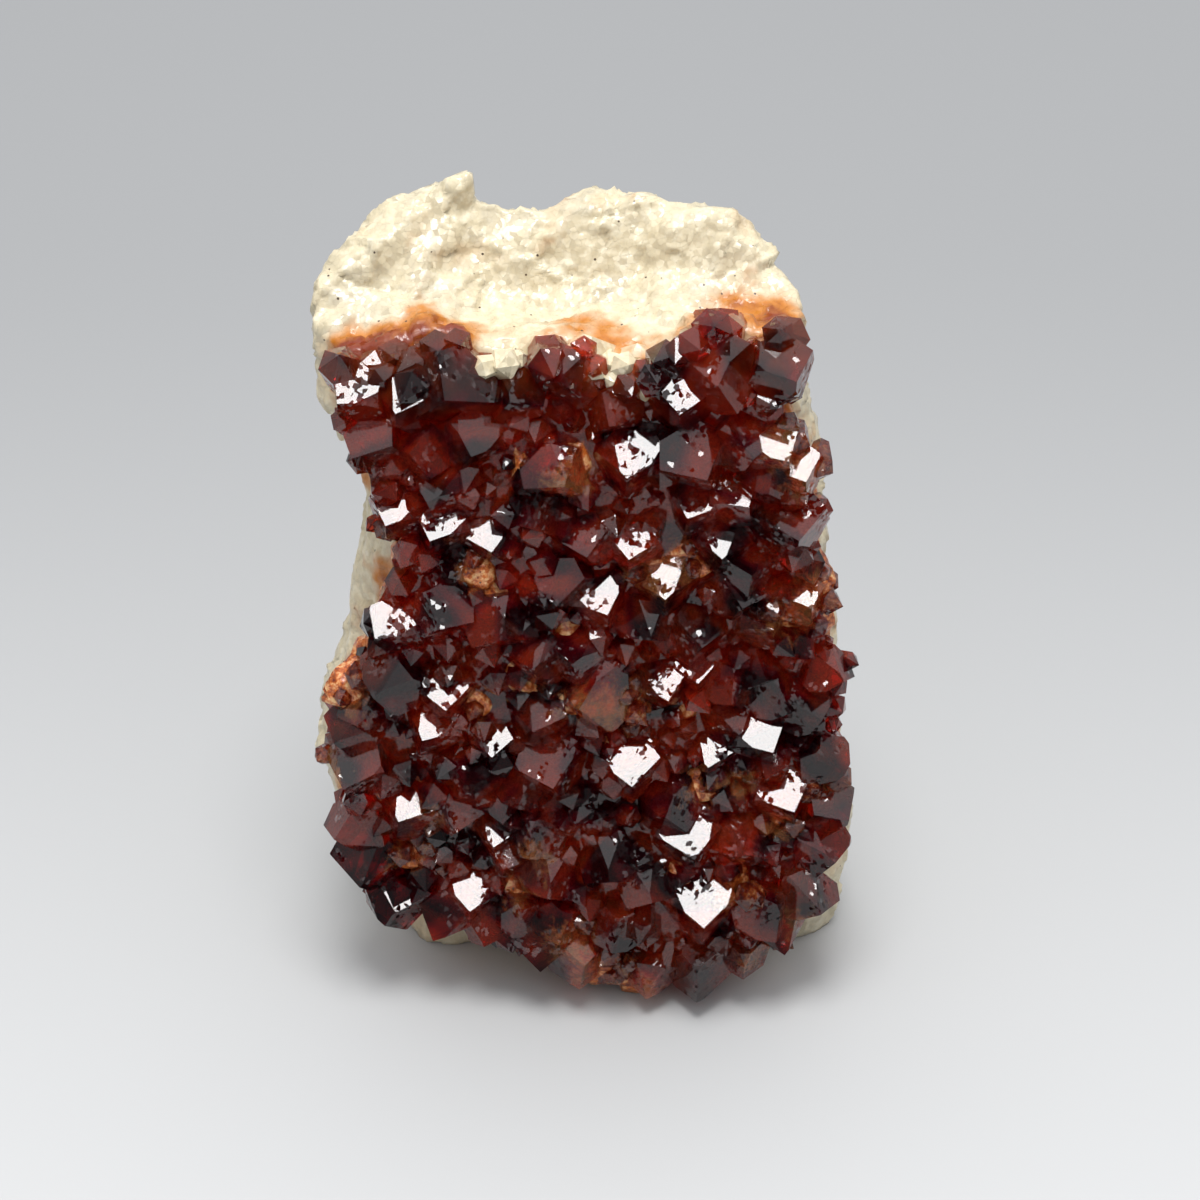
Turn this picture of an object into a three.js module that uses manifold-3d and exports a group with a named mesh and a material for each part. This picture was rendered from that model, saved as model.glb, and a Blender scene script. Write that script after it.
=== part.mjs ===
// A citrine cluster: a crust of dark red-brown quartz points on a broken slab of white milky quartz.
// Millimetres, +Z up. The points face -Y. The slab leans back towards +Y and stands on a flat cut.
//
// The slab's own frame is used to lay things out: across is left to right, up runs along the slab,
// and out is measured from the plane where the points are rooted, towards the viewer.

import * as THREE from 'three';
import { ConvexGeometry } from 'three/addons/geometries/ConvexGeometry.js';
import { mergeVertices } from 'three/addons/utils/BufferGeometryUtils.js';
import { SimplexNoise } from 'three/addons/math/SimplexNoise.js';
import Module from 'manifold-3d';

const wasm = await Module();
wasm.setup();

// Driving dimensions of the slab

const LEAN = THREE.MathUtils.degToRad( 8 );
const SLAB_THICKNESS = 40;
const BASE_LIFT = 1.2; // height, in the slab's frame before it is stood down, of the flat cut
const FOOT_GAP = 0.4; // no point reaches down to the surface that the slab stands on
const CRUST_GAP = 0.35; // the crust is rooted in the slab, and the two solids keep this much between them
const GRID = { across: 15, deep: 10, up: 11 };
const COLUMNS = [[ 0, 0 ], [ 4 / 15, 0.297 ], [ 5 / 15, 0.335 ], [ 1, 1 ]]; // they gather at the step in the top
const SLAB_HEIGHT = 122;
const LAYER = 4.4; // thickness of the layer that the points share
const LAYER_GRID = { across: 7, up: 9 };

// The slab's outline, as [ up, across ] down each side, at the roots and further back
const LEFT_FRONT = [[ 0, - 25 ], [ 10, - 27 ], [ 20, - 31 ], [ 30, - 36 ], [ 42, - 38 ], [ 52, - 35 ],
	[ 62, - 31 ], [ 72, - 28 ], [ 84, - 26 ], [ 96, - 27 ], [ 104, - 31 ], [ 112, - 34 ], [ 120, - 35 ]];
const LEFT_REAR = [[ 0, - 27 ], [ 14, - 30 ], [ 28, - 36.5 ], [ 42, - 42 ], [ 54, - 41 ], [ 64, - 37.5 ],
	[ 74, - 34.5 ], [ 86, - 32.5 ], [ 96, - 33 ], [ 106, - 39 ], [ 114, - 41 ], [ 124, - 38.5 ]];
const RIGHT_FRONT = [[ 0, 24 ], [ 8, 31 ], [ 16, 35 ], [ 26, 37 ], [ 42, 38 ], [ 58, 37 ],
	[ 72, 34.5 ], [ 86, 33 ], [ 98, 31 ], [ 106, 28.5 ], [ 120, 28.5 ]];
const RIGHT_REAR = [[ 0, 37 ], [ 12, 41 ], [ 26, 42.5 ], [ 44, 41 ], [ 60, 39.5 ], [ 74, 38.5 ],
	[ 84, 38 ], [ 94, 35.5 ], [ 106, 33 ], [ 118, 32 ], [ 124, 30 ]];

// The broken top, as [ across, up ], from the roots to the back: a ledge, then a hump with a step in it
const TOP_FRONT = [[ - 35, 113 ], [ - 28, 115 ], [ - 20, 117 ], [ - 12, 115.5 ], [ - 3, 115.5 ], [ 5, 113.5 ],
	[ 12, 116 ], [ 20, 118 ], [ 29, 118.5 ]];
const TOP_LEDGE = [[ - 37, 116 ], [ - 30, 119.5 ], [ - 22, 121 ], [ - 15, 117.5 ], [ - 9, 115.5 ], [ - 1, 117.5 ],
	[ 10, 119 ], [ 22, 119.5 ], [ 30, 118.5 ]];
const TOP_HUMP = [[ - 38, 120 ], [ - 32, 128 ], [ - 24, 131.5 ], [ - 17.6, 133.5 ], [ - 15.4, 127 ],
	[ - 8, 127.5 ], [ 0, 129 ], [ 7, 129.5 ], [ 15, 129.5 ], [ 21, 128.5 ], [ 26, 125.5 ], [ 29, 121.5 ],
	[ 33, 116 ]];
const TOP_BACK = [[ - 36, 106 ], [ - 24, 117 ], [ - 12, 114 ], [ 4, 118 ], [ 18, 112 ], [ 30, 103 ]];

// The lower edge at the roots, where the crust wraps under, as [ across, up ]
const BOTTOM_FRONT = [[ - 37, 27 ], [ - 30, 20 ], [ - 22, 14 ], [ - 12, 11 ], [ - 4, 7 ], [ 8, 4.5 ], [ 19, 4.5 ],
	[ 27, 10 ], [ 36, 18 ]];
const BELOW_CUT = - 8; // behind the crust the slab runs on below the flat cut

// How the surface with the roots rolls back, and how the slab thins and roughens away from it
const ROLL_BACK = { sides: 4.5, lowEdge: 5, halfWidth: 42, lowHeight: 26 };
const FLARE_DEPTH = 0.35; // share of the depth over which the sides widen from the roots
const BACK_NARROWING = 0.16;
const EDGE_THINNING = { sides: 0.3, top: 0.16 };
const LUMPS = [ { distance: 17, size: 1.5 }, { distance: 6.5, size: 1 } ];
const DEPTHS = { ledge: 0.38, humpFront: 0.55, humpBack: 0.74 }; // where the broken top's lines lie

// Quartz crystal form

const TIP_SLOPE = THREE.MathUtils.degToRad( 51.8 ); // between a pyramid face's normal and the crystal's length
const MAJOR_FACE_INSET = [ 0, 0.05 ]; // how far a pyramid face is set in, as a share of the width
const MINOR_FACE_INSET = [ 0.05, 0.3 ];
const SIDE_FACE_SIZE = [ 0.92, 1.08 ];
const SCATTER = 0.34; // how far, at most, points lean this way and that
const FAN_OUT = { most: 0.75, halfWidth: 40 }; // lean of the points at the left and right edges
const HANG = { most: 0.95, low: 2, high: 34 }; // lean of the points over the lower edge
const LIFT = { most: 0.25, low: 95, high: 115 }; // lean of the points along the broken top
const WIDTH = { least: 3.2, share: 0.75 }; // a point's real width, with a share of the width that shows
const TAPER = THREE.MathUtils.degToRad( 12 ); // how much the sides close in towards the root
const TIP_HEIGHT = { share: 0.5, least: 0.6, spread: 1.6 }; // above the shared layer, with a share of the width
const SEEN_AT = 6; // the points' listed positions are this far out from the roots' plane
const ROOT_DEPTH = 5; // how far each crystal is rooted in the slab, before it is cut back to it

// The larger points, from the top edge down, as [ across, up, width that shows, flashes ]. Those marked 1 turn
// one pyramid face to the light from above.
const POINTS = [
	// along the broken top
	[ - 34, 110, 6.5, 1 ], [ - 26, 109, 5, 1 ], [ - 19, 111.5, 11, 0 ], [ - 3, 113, 7.5, 0 ],
	[ 14, 110, 8, 1 ], [ 19, 114, 10, 0 ], [ 28, 114.5, 7.5, 0 ], [ 4, 107, 6, 0 ], [ - 10, 110, 6, 0 ],
	// upper part
	[ - 32, 102, 8, 0 ], [ - 24, 102, 7, 0 ], [ - 16, 103, 8, 0 ], [ - 4, 98, 8, 0 ],
	[ 7, 100, 9, 1 ], [ 16, 101, 9, 0 ], [ 23, 103, 7, 0 ], [ 27, 102, 5.5, 1 ], [ 31, 98, 6, 0 ],
	[ - 21, 95, 6, 0 ], [ - 28, 91, 5.5, 1 ], [ - 21, 89, 8, 1 ], [ - 14, 87, 4.5, 1 ], [ - 7, 91, 6, 0 ],
	[ 1, 87, 6, 0 ], [ 16, 93, 7.5, 0 ], [ 22, 94, 6, 0 ], [ 26, 97, 6.5, 0 ],
	[ 30.5, 89, 10, 0 ], [ 7, 86, 6.5, 1 ], [ 20, 86, 7.5, 1 ], [ 24, 82, 6.5, 0 ], [ - 31, 83, 5.5, 0 ],
	// waist
	[ - 3, 80, 7, 0 ], [ 2, 77, 8, 1 ], [ 12, 79, 7.5, 1 ], [ 23, 77, 7.5, 0 ],
	[ - 21, 76, 7, 0 ], [ - 13, 74, 7.5, 0 ], [ - 29, 72, 7, 1 ],
	[ 9, 73, 6.5, 0 ], [ 33, 76, 6.5, 0 ], [ 28, 72, 6.5, 0 ], [ - 7, 68, 6.5, 0 ],
	[ - 1, 68, 7, 0 ], [ 17, 70, 8, 0 ], [ - 21, 61, 6, 1 ], [ - 29, 63, 8, 0 ],
	// lower middle
	[ - 34, 56, 7, 0 ], [ - 38, 52, 7, 0 ], [ - 36, 45, 9.5, 0 ], [ - 23, 55, 6.5, 0 ],
	[ 1, 61, 11, 0 ], [ 12, 61, 6, 1 ], [ 17, 63, 5.5, 1 ], [ 22, 60, 7, 0 ], [ 27, 63, 6, 0 ],
	[ 31, 57, 6, 0 ], [ 36, 56, 8, 0 ], [ 40, 62, 5.5, 0 ], [ - 14, 52, 4, 1 ], [ - 5, 48, 9, 0 ],
	[ - 17, 46, 7, 0 ], [ - 10, 43, 5.5, 0 ], [ - 28, 39, 8.5, 0 ], [ - 20, 38, 8, 0 ], [ 7, 47, 7.5, 1 ],
	[ 19, 48, 4.5, 1 ], [ 28, 51, 8, 1 ], [ 23, 54, 6.5, 0 ], [ 13, 40, 9.5, 0 ], [ 40, 46, 7, 0 ],
	[ - 7, 57, 7, 0 ],
	// towards the lower edge
	[ - 39, 34, 8, 0 ], [ - 35, 26, 9.5, 0 ], [ - 14, 34, 5, 1 ],
	[ - 12, 30, 7, 0 ], [ - 8, 34, 7.5, 0 ], [ - 6, 27, 9, 0 ], [ 16, 34, 8.5, 1 ],
	[ 32, 40, 8.5, 1 ], [ 24, 33, 8, 0 ],
	[ 4, 30, 8, 0 ], [ 18, 22, 9.5, 1 ], [ 5, 18, 6.5, 0 ], [ 28, 19, 8, 0 ],
	[ 39, 30, 7.5, 0 ], [ 36, 21.5, 8, 0 ], [ - 18, 22, 6, 1 ], [ 40, 38, 7, 0 ], [ 10, 26, 7, 0 ],
	// hanging over the lower edge
	[ - 24, 15, 9, 0 ], [ - 31.5, 18, 7, 0 ], [ - 30, 20, 5, 1 ], [ - 16, 15, 6, 0 ],
	[ - 11, 18, 6.5, 0 ], [ - 7, 11, 9.5, 0 ],
	[ - 1, 8, 8.5, 0 ], [ - 4, 18, 6.5, 0 ], [ 10, 6, 6, 0 ], [ 18, 6.5, 10.5, 0 ],
	[ 25, 9, 6, 0 ], [ 31, 14, 7, 0 ],
];

// The direction, in the slab's frame, that a flashing face looks in: up and out
const FLASH = frameVector( 0, Math.sin( TIP_SLOPE ), Math.cos( TIP_SLOPE ) );

// A seeded source of even random numbers, so that the cluster is the same every time
function seeded( seed ) {

	let state = seed;
	return () => {

		state = ( state * 1664525 + 1013904223 ) % 4294967296;
		return state / 4294967296;

	};

}

// A vector given across, up and out, in a frame with X across, -Y out and Z up
function frameVector( across, up, out ) {

	return new THREE.Vector3( across, - out, up );

}

// The value at t on a line drawn through [ t, value ] pairs
function along( line, t ) {

	if ( t <= line[ 0 ][ 0 ] ) return line[ 0 ][ 1 ];
	for ( let i = 1; i < line.length; i ++ ) {

		const [ t0, v0 ] = line[ i - 1 ];
		const [ t1, v1 ] = line[ i ];
		if ( t <= t1 ) return THREE.MathUtils.mapLinear( t, t0, t1, v0, v1 );

	}

	return line[ line.length - 1 ][ 1 ];

}

// A soft rise from 0 to 1 as t goes from low to high
function rise( t, low, high ) {

	return THREE.MathUtils.smoothstep( t, low, high );

}

// How far out the rooting surface lies: a gentle swell that rolls back at its sides and lower edge
function rootSurface( across, up ) {

	const side = Math.pow( Math.abs( across ) / ROLL_BACK.halfWidth, 3 );
	const low = Math.pow( 1 - rise( up, 0, ROLL_BACK.lowHeight ), 1.5 );
	const wave = 1.3 * Math.sin( across / 11 + up / 23 ) + 1.1 * Math.cos( up / 13 - across / 17 );
	return wave - ROLL_BACK.sides * side - ROLL_BACK.lowEdge * low;

}

// The slab

// The slab's edge across, at a height and a depth, where depth runs from 0 at the roots to 1 at the back
function sideAt( front, rear, up, depth ) {

	const narrowing = 1 - BACK_NARROWING * Math.pow( depth, 5 );
	const flare = rise( depth, 0, FLARE_DEPTH );
	return narrowing * THREE.MathUtils.lerp( along( front, up ), along( rear, up ), flare );

}

function topAt( across, depth ) {

	const byDepth = [
		[ 0, along( TOP_FRONT, across ) ],
		[ DEPTHS.ledge, along( TOP_LEDGE, across ) ],
		[ DEPTHS.humpFront, along( TOP_HUMP, across ) ],
		[ DEPTHS.humpBack, along( TOP_HUMP, across ) - 0.5 ],
		[ 1, along( TOP_BACK, across ) ],
	];
	return along( byDepth, depth );

}

function bottomAt( across, depth ) {

	return THREE.MathUtils.lerp( along( BOTTOM_FRONT, across ), BELOW_CUT, rise( depth, 0.02, 0.28 ) );

}

// The layer that all the points grow from, which fills the clefts between them
function layerGeometry() {

	const geometry = joined( new THREE.BoxGeometry( 2, 2, 2, LAYER_GRID.across, 1, LAYER_GRID.up ) );
	const place = geometry.getAttribute( 'position' );
	for ( let i = 0; i < place.count; i ++ ) {

		const share = ( place.getX( i ) + 1 ) / 2;
		const height = ( place.getZ( i ) + 1 ) / 2;
		const roughUp = height * SLAB_HEIGHT;
		const across = THREE.MathUtils.lerp( along( LEFT_FRONT, roughUp ), along( RIGHT_FRONT, roughUp ), share );
		const up = THREE.MathUtils.lerp( bottomAt( across, 0 ), topAt( across, 0 ) - 2, height );
		const isFront = place.getY( i ) < 0;
		place.setXYZ( i, ...frameVector( across, up, rootSurface( across, up ) + ( isFront ? LAYER : - LAYER ) ) );

	}

	return geometry;

}

// A box's surface pushed out to the slab's outline and roughened like broken quartz
function slabGeometry() {

	const geometry = joined( new THREE.BoxGeometry( 2, 2, 2, GRID.across, GRID.deep, GRID.up ) );
	const noise = new SimplexNoise( { random: seeded( 11 ) } );
	const place = geometry.getAttribute( 'position' );
	for ( let i = 0; i < place.count; i ++ ) {

		const depth = ( place.getY( i ) + 1 ) / 2;
		const share = along( COLUMNS, ( place.getX( i ) + 1 ) / 2 );
		const height = ( place.getZ( i ) + 1 ) / 2;
		const roughUp = height * SLAB_HEIGHT;
		const left = sideAt( LEFT_FRONT, LEFT_REAR, roughUp, depth );
		const right = sideAt( RIGHT_FRONT, RIGHT_REAR, roughUp, depth );
		const across = THREE.MathUtils.lerp( left, right, share );
		const up = THREE.MathUtils.lerp( bottomAt( across, depth ), topAt( across, depth ), height );
		const thinning = EDGE_THINNING.sides * Math.pow( Math.abs( 2 * share - 1 ), 3 )
			+ EDGE_THINNING.top * Math.pow( height, 4 );
		const out = rootSurface( across, up ) * ( 1 - depth ) - SLAB_THICKNESS * depth * ( 1 - thinning );
		const point = frameVector( across, up, out );
		const rough = rise( depth, 0, 0.2 );
		for ( const { distance, size } of LUMPS ) point.add( lump( noise, point, distance, size * rough ) );
		place.setXYZ( i, ...point );

	}

	return geometry;

}

// A push of up to size, in three directions, that changes over a distance
function lump( noise, point, distance, size ) {

	const p = point.clone().divideScalar( distance );
	return new THREE.Vector3(
		noise.noise3d( p.x, p.y, p.z ),
		noise.noise3d( p.y + 31, p.z, p.x ),
		noise.noise3d( p.z, p.x + 57, p.y )
	).multiplyScalar( size );

}

// The same surface moved out along its normals
function grown( geometry, distance ) {

	const bigger = geometry.clone();
	bigger.computeVertexNormals();
	const place = bigger.getAttribute( 'position' );
	const normal = bigger.getAttribute( 'normal' );
	for ( let i = 0; i < place.count; i ++ ) {

		place.setXYZ(
			i,
			place.getX( i ) + normal.getX( i ) * distance,
			place.getY( i ) + normal.getY( i ) * distance,
			place.getZ( i ) + normal.getZ( i ) * distance
		);

	}

	return joined( bigger );

}

// Crystals

// The faces of one crystal whose tip is at the origin and whose length runs down -Z. Each face is its
// outward normal and its distance from the origin.
function crystalFaces( width, length, random ) {

	const faces = [ { normal: new THREE.Vector3( 0, 0, - 1 ), distance: length } ];
	for ( let i = 0; i < 6; i ++ ) {

		const angle = i * Math.PI / 3;
		const side = new THREE.Vector3( Math.cos( angle ), Math.sin( angle ), 0 );
		const shoulder = side.clone().multiplyScalar( width / 2 ).setZ( - width / 2 * Math.tan( TIP_SLOPE ) );
		const tapered = side.clone().multiplyScalar( Math.cos( TAPER ) ).setZ( - Math.sin( TAPER ) );
		const size = THREE.MathUtils.lerp( ...SIDE_FACE_SIZE, random() );
		faces.push( { normal: tapered, distance: shoulder.dot( tapered ) * size } );
		const slope = side.clone().multiplyScalar( Math.sin( TIP_SLOPE ) ).setZ( Math.cos( TIP_SLOPE ) );
		const inset = THREE.MathUtils.lerp( ...( i % 2 ? MINOR_FACE_INSET : MAJOR_FACE_INSET ), random() );
		faces.push( { normal: slope, distance: width * inset } );

	}

	return faces;

}

// The corners where three faces meet and which no other face cuts off
function cornersOf( faces ) {

	const corners = [];
	for ( let i = 0; i < faces.length; i ++ ) for ( let j = i + 1; j < faces.length; j ++ ) {

		for ( let k = j + 1; k < faces.length; k ++ ) {

			const [ a, b, c ] = [ faces[ i ], faces[ j ], faces[ k ] ];
			const bc = b.normal.clone().cross( c.normal );
			const size = a.normal.dot( bc );
			if ( Math.abs( size ) < 1e-6 ) continue;
			const corner = bc.multiplyScalar( a.distance )
				.addScaledVector( c.normal.clone().cross( a.normal ), b.distance )
				.addScaledVector( a.normal.clone().cross( b.normal ), c.distance )
				.divideScalar( size );
			if ( faces.every( f => f.normal.dot( corner ) < f.distance + 1e-6 ) ) corners.push( corner );

		}

	}

	return corners;

}

// Points at the edge of the crust fan outwards, and those at the lower edge hang over it
function growthDirection( across, up, random ) {

	const fanOut = FAN_OUT.most * Math.pow( across / FAN_OUT.halfWidth, 3 );
	const hang = - HANG.most * Math.pow( 1 - rise( up, HANG.low, HANG.high ), 1.3 );
	const lift = LIFT.most * rise( up, LIFT.low, LIFT.high );
	const scatter = () => SCATTER * ( random() + random() - 1 );
	return frameVector( fanOut + scatter(), hang + lift + scatter(), 1 ).normalize();

}

// The direction of a crystal that has one pyramid face looking along FLASH
function flashingDirection( direction ) {

	const aside = direction.clone().addScaledVector( FLASH, - direction.dot( FLASH ) ).normalize();
	return FLASH.clone().multiplyScalar( Math.cos( TIP_SLOPE ) ).addScaledVector( aside, Math.sin( TIP_SLOPE ) );

}

function crystalGeometry( [ across, up, widthShown, flashes ], random ) {

	let direction = growthDirection( across, up, random );
	if ( flashes ) direction = flashingDirection( direction );
	const width = WIDTH.least + WIDTH.share * widthShown;
	const height = LAYER + TIP_HEIGHT.least + TIP_HEIGHT.share * width + TIP_HEIGHT.spread * random();
	const root = rootSurface( across, up );
	const tip = frameVector( across, up, SEEN_AT ).addScaledVector( direction, root + height - SEEN_AT );
	const corners = cornersOf( crystalFaces( width, height + ROOT_DEPTH, random ) );

	// The crystal's first pyramid face lies towards its own X, so X is turned towards the flash
	const towards = flashes ? FLASH : frameVector( random() - 0.5, random() - 0.5, random() - 0.5 );
	const sideways = new THREE.Vector3().crossVectors( direction, towards ).normalize();
	const forwards = new THREE.Vector3().crossVectors( sideways, direction );
	const turn = new THREE.Matrix4().makeBasis( forwards, sideways, direction ).setPosition( tip );
	return new ConvexGeometry( corners.map( c => c.applyMatrix4( turn ) ) );

}

// Solids

// A mesh with only positions, whose shared corners are merged
function joined( geometry ) {

	const bare = geometry.clone();
	bare.deleteAttribute( 'normal' );
	bare.deleteAttribute( 'uv' );
	return mergeVertices( bare, 1e-4 );

}

// A closed geometry laid out in the slab's frame, leaned back and turned into a solid
function solidOf( geometry ) {

	const leaned = joined( geometry ).rotateX( - LEAN );
	return new wasm.Manifold( new wasm.Mesh( {
		numProp: 3,
		vertProperties: new Float32Array( leaned.getAttribute( 'position' ).array ),
		triVerts: new Uint32Array( leaned.index.array ),
	} ) );

}

function geometryOf( solid ) {

	const mesh = solid.getMesh();
	const geometry = new THREE.BufferGeometry();
	geometry.setAttribute( 'position', new THREE.BufferAttribute( mesh.vertProperties, 3 ) );
	geometry.setIndex( new THREE.BufferAttribute( mesh.triVerts, 1 ) );
	geometry.computeVertexNormals();
	return geometry;

}

// Everything below a level, as a solid to cut away
function blockBelow( level ) {

	const block = joined( new THREE.BoxGeometry( 300, 300, 100 ).translate( 0, 0, level - 50 ) ).rotateX( LEAN );
	return solidOf( block );

}

function buildSlab() {

	return solidOf( slabGeometry() ).subtract( blockBelow( BASE_LIFT ) );

}

function buildCrust() {

	const random = seeded( 4 );
	const crystals = POINTS.map( point => solidOf( crystalGeometry( point, random ) ) );
	const whole = crystals.reduce( ( sum, crystal ) => sum.add( crystal ), solidOf( layerGeometry() ) )
		.subtract( solidOf( grown( slabGeometry(), CRUST_GAP ) ) )
		.subtract( blockBelow( BASE_LIFT + FOOT_GAP ) );
	return largestOf( whole );

}

// The largest separate body of a solid
function largestOf( solid ) {

	return solid.decompose().reduce( ( a, b ) => ( b.volume() > a.volume() ? b : a ) );

}

const milkyQuartz = new THREE.MeshStandardMaterial( { color: 0xe9dfcd, roughness: 0.55, metalness: 0 } );
const citrine = new THREE.MeshStandardMaterial( { color: 0x5a1410, roughness: 0.08, metalness: 0 } );

function named( name, solid, material ) {

	const mesh = new THREE.Mesh( geometryOf( solid ), material );
	mesh.name = name;
	return mesh;

}

const cluster = new THREE.Group();
cluster.add( named( 'quartz_matrix', buildSlab(), milkyQuartz ) );
cluster.add( named( 'citrine_crystals', buildCrust(), citrine ) );

// The origin is under the middle of the cluster, on the surface it stands on
const extent = new THREE.Box3().setFromObject( cluster );
const middle = extent.getCenter( new THREE.Vector3() );
cluster.position.set( - middle.x, - middle.y, - extent.min.z );

export default cluster;
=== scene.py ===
# %% [markdown]
# # A citrine cluster, dressed for its picture
#
# The cluster is a broken piece of geode wall: a slab of white milky quartz with a crust of dark red-brown
# points on one face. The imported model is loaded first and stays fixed. Everything here is in metres, in the
# same frame: +Z is up, the points face -Y, and the cluster stands on z = 0.

# %% The tools and the fixed frame
import math

import bmesh
import bpy
import numpy as np
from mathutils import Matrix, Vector, noise
from mathutils.bvhtree import BVHTree
from mathutils.kdtree import KDTree


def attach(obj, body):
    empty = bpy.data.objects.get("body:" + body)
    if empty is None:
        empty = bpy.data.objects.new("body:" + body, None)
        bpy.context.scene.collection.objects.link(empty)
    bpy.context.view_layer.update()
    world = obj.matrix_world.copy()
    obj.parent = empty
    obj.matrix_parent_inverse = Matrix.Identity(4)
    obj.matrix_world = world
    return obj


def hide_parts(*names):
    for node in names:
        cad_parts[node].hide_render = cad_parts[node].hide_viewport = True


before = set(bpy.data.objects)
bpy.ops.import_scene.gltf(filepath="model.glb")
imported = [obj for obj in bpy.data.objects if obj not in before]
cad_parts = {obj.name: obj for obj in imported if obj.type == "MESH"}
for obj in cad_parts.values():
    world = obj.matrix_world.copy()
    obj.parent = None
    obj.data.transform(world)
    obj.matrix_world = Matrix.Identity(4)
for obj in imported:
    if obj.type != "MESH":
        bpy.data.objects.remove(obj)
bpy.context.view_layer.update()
MM = 0.001

# %% [markdown]
# ## The slab's own directions
#
# The slab leans back by 8 degrees. It is easier to place things across it, up it and out from it than in
# world directions, so three vectors and one function turn slab places into world places. The slab's zero is
# under the flat cut, below the roots of the points.

# %% Slab directions
LEAN = math.radians(8)
ACROSS = Vector((1, 0, 0))
UP = Vector((0, math.sin(LEAN), math.cos(LEAN)))
OUT = Vector((0, -math.cos(LEAN), math.sin(LEAN)))
SLAB_ZERO = Vector((-0.13, -20.87, -1.2)) * MM


def slab_place(across, up, out):
    """The world place of a point given in millimetres across, up and out from the slab."""
    return SLAB_ZERO + (ACROSS * across + UP * up + OUT * out) * MM


def slab_coordinates(points):
    """An array of world points as millimetres across, up and out."""
    moved = (points - np.array(SLAB_ZERO)) / MM
    return moved @ np.array([ACROSS, UP, OUT]).T


# %% [markdown]
# ## The camera
#
# The photograph looks down on the crust from 30 degrees above the slab's own facing, which is 38 degrees
# above the table. A long lens keeps the sides of the slab nearly parallel.

# %% The camera
VIEW_ABOVE_FACING = math.radians(30)
VIEW_DISTANCE = 0.45
LENS_MM = 90
LOOK_AT = slab_place(2.3, 73.5, 0)
towards_camera = UP * math.sin(VIEW_ABOVE_FACING) + OUT * math.cos(VIEW_ABOVE_FACING)

camera_data = bpy.data.cameras.new("camera")
camera_data.lens = LENS_MM
camera_data.clip_start = 0.01
camera = bpy.data.objects.new("camera", camera_data)
camera.location = LOOK_AT + towards_camera * VIEW_DISTANCE
camera.rotation_euler = towards_camera.to_track_quat("Z", "Y").to_euler()
bpy.context.scene.collection.objects.link(camera)
bpy.context.scene.camera = camera
bpy.context.scene.view_settings.view_transform = "Standard"
elevation = math.degrees(math.asin(towards_camera.z))
print("camera elevation in degrees:", round(elevation, 1))

# %% [markdown]
# ## Helpers for materials
#
# Colours are picked as sRGB hex values, as a painter's chart gives them, and one function turns them to the
# linear values that light needs. One function adds a shader or geometry node with its settings and links, and
# the others build patterns from such nodes.


# %% Colour and node helpers
def linear(hex_colour):
    """An sRGB hex colour as linear red, green, blue and alpha."""
    parts = [int(hex_colour[i : i + 2], 16) / 255 for i in (0, 2, 4)]
    return [c / 12.92 if c <= 0.04045 else ((c + 0.055) / 1.055) ** 2.4 for c in parts] + [1.0]


def add(tree, kind, inputs=None, **settings):
    """A new node. Each of inputs is a socket's name or number with a value, or with a socket to link from."""
    node = tree.nodes.new(kind)
    for name, value in settings.items():
        setattr(node, name, value)
    for name, value in (inputs or {}).items():
        if isinstance(value, bpy.types.NodeSocket):
            tree.links.new(value, node.inputs[name])
        else:
            node.inputs[name].default_value = value
    return node


def ramp(tree, value, *stops):
    """A colour ramp with (place, hex colour) stops."""
    node = add(tree, "ShaderNodeValToRGB", {"Fac": value})
    elements = node.color_ramp.elements
    while len(elements) < len(stops):
        elements.new(1.0)
    for element, (place, colour) in zip(elements, stops):
        element.position = place
        element.color = linear(colour)
    return node.outputs["Color"]


def between(tree, value, low, high):
    """A value between 0 and 1 that rises softly as value goes from low to high."""
    node = add(tree, "ShaderNodeMapRange", {"Value": value, "From Min": low, "From Max": high})
    node.interpolation_type = "SMOOTHSTEP"
    return node.outputs["Result"]


def maths(tree, operation, a, b, c=0.0):
    node = add(tree, "ShaderNodeMath", {0: a, 1: b, 2: c}, operation=operation)
    return node.outputs["Value"]


def mixed(tree, share, a, b):
    """Two colours mixed, each a hex colour or a socket."""
    a, b = (linear(c) if isinstance(c, str) else c for c in (a, b))
    node = tree.nodes.new("ShaderNodeMix")
    node.data_type = "RGBA"
    for socket, value in ((node.inputs[0], share), (node.inputs[6], a), (node.inputs[7], b)):
        if isinstance(value, bpy.types.NodeSocket):
            tree.links.new(value, socket)
        else:
            socket.default_value = value
    return node.outputs[2]


def noise_node(tree, size_mm, detail, roughness, offset):
    place = add(tree, "ShaderNodeTexCoord").outputs["Object"]
    if offset:
        place = add(tree, "ShaderNodeVectorMath", {0: place, 1: (offset, 0, 0)}, operation="ADD").outputs[0]
    settings = {"Vector": place, "Scale": 1 / (size_mm * MM), "Detail": detail, "Roughness": roughness}
    return add(tree, "ShaderNodeTexNoise", settings)


def patches(tree, size_mm, detail=2.0, roughness=0.5, offset=0.0):
    """Cloudy noise whose patches are about size_mm across, from Object coordinates."""
    return noise_node(tree, size_mm, detail, roughness, offset).outputs["Fac"]


def two_patches(tree, size_mm, detail, offset=0.0):
    """Two cloudy noises of the same size that don't follow each other."""
    colour = noise_node(tree, size_mm, detail, 0.5, offset).outputs["Color"]
    channels = add(tree, "ShaderNodeSeparateColor", {"Color": colour}).outputs
    return channels[0], channels[1]


def cells(tree, size_mm, output="Distance"):
    """A cell pattern with cells about size_mm across, from Object coordinates."""
    place = add(tree, "ShaderNodeTexCoord").outputs["Object"]
    settings = {"Vector": place, "Scale": 1 / (size_mm * MM)}
    return add(tree, "ShaderNodeTexVoronoi", settings).outputs[output]


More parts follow.
